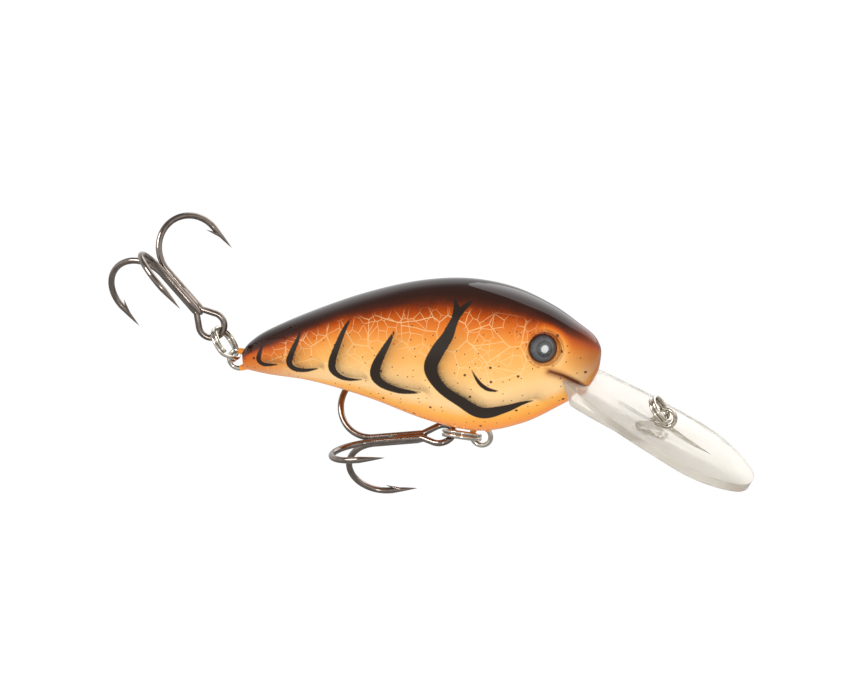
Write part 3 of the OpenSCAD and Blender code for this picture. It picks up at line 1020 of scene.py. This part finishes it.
def studio():
    deselectAll()
    bpy.ops.mesh.primitive_circle_add(vertices=64, radius=6, fill_type="NGON",
                                      location=(0, 0, low.z - floorDrop))
    floor = bpy.context.object
    floor.name = "studioFloor"
    material, tree, shader = newMaterial("whiteSweep")
    shader.inputs["Base Color"].default_value = (0.1, 0.1, 0.1, 1)
    shader.inputs["Roughness"].default_value = 1.0
    shader.inputs["Specular IOR Level"].default_value = 0.0
    shader.inputs["Emission Color"].default_value = (1, 1, 1, 1)
    shader.inputs["Emission Strength"].default_value = 0.95
    floor.data.materials.append(material)
    floor.visible_glossy = False
    # a white room with a dim ceiling
    world = bpy.data.worlds.new("softRoom")
    bpy.context.scene.world = world
    world.use_nodes = True
    tree = world.node_tree
    sky = tree.nodes["Background"]
    split = tree.nodes.new("ShaderNodeSeparateXYZ")
    link(tree, (tree.nodes.new("ShaderNodeTexCoord"), "Generated"), split, 0)
    wall = mapped(tree, (split, "Z"), 0.45, 0.8, 1.0, 0.35)
    below = mapped(tree, (split, "Z"), -0.3, 0.0, 0.5, 1.0)
    room = maths(tree, "MULTIPLY", wall, below)
    link(tree, room, sky, "Strength")
    sky.inputs["Color"].default_value = (1, 1, 1, 1)


def softbox(name, spot, size, power, shown=True, lights=True):
    target = Vector(((low.x + high.x) / 2, 0, (low.z + high.z) / 2))
    data = bpy.data.lights.new(name, "AREA")
    data.shape = "DISK"
    data.size = size
    data.energy = power
    lamp = bpy.data.objects.new(name, data)
    bpy.context.scene.collection.objects.link(lamp)
    lamp.location = target + Vector(spot)
    lamp.rotation_euler = Vector(spot).to_track_quat("Z", "Y").to_euler()
    lamp.visible_glossy = shown
    lamp.visible_diffuse = lights
    return lamp


studio()
softbox("keyLight", (0.25, -0.55, 0.75), 0.35, 3.2, shown=False)
softbox("rimPanel", (0.36, 0.66, 0.45), 1.02, 4.4, lights=False)
eyeLamp = softbox("eyeGlint", (0.42, -0.39, 0.0), 0.40, 4.5, lights=False)
topStrip = softbox("topStrip", (-0.5, -0.4, 0.6), 0.5, 7.0, lights=False)
frontStrip = softbox("frontStrip", (0.15, -0.8, 0.1), 0.16, 1.0, lights=False)


def shineOnly(lamps, name, pieces):
    group = bpy.data.collections.new(name)
    for piece in pieces:
        group.objects.link(bpy.data.objects[piece])
    for lamp in lamps:
        lamp.light_linking.receiver_collection = group


shineOnly([eyeLamp], "eyesOnly", ["rightLens", "leftLens"])
shineOnly([topStrip, frontStrip], "metalOnly",
          ["lineTieWire", "lineTieRing", "tailSplitRing", "bellySplitRing", "tailHangerEye", "bellyHangerEye",
           "tailTrebleDouble", "tailTrebleSingle", "bellyTrebleDouble", "bellyTrebleSingle"])

# angles in degrees, distance in metres, the width seen and the aim in mm
view = {"azimuth": 14.0, "elevation": 20.0, "roll": 6.3, "distance": 1.6, "across": 152.14,
        "aim": (33.44, -1.77)}


def studioCamera():
    a, e, r = (math.radians(view[k]) for k in ("azimuth", "elevation", "roll"))
    right = Vector((math.cos(a), math.sin(a), 0))
    back = Vector((math.sin(a) * math.cos(e), -math.cos(a) * math.cos(e), math.sin(e)))
    up = back.cross(right)
    aim = Vector(tailEye) + right * view["aim"][0] * mm + up * view["aim"][1] * mm
    rolledRight = right * math.cos(r) - up * math.sin(r)
    rolledUp = right * math.sin(r) + up * math.cos(r)
    turn = Matrix((rolledRight, rolledUp, back)).transposed().to_4x4()
    data = bpy.data.cameras.new("studioCamera")
    data.sensor_width = 36
    data.lens = 36 * view["distance"] / (view["across"] * mm)
    data.clip_start, data.clip_end = 0.05, 50
    camera = bpy.data.objects.new("studioCamera", data)
    bpy.context.scene.collection.objects.link(camera)
    camera.matrix_world = Matrix.Translation(aim + back * view["distance"]) @ turn
    bpy.context.scene.camera = camera


studioCamera()
bpy.context.scene.view_settings.view_transform = "Standard"
print("studio ready")
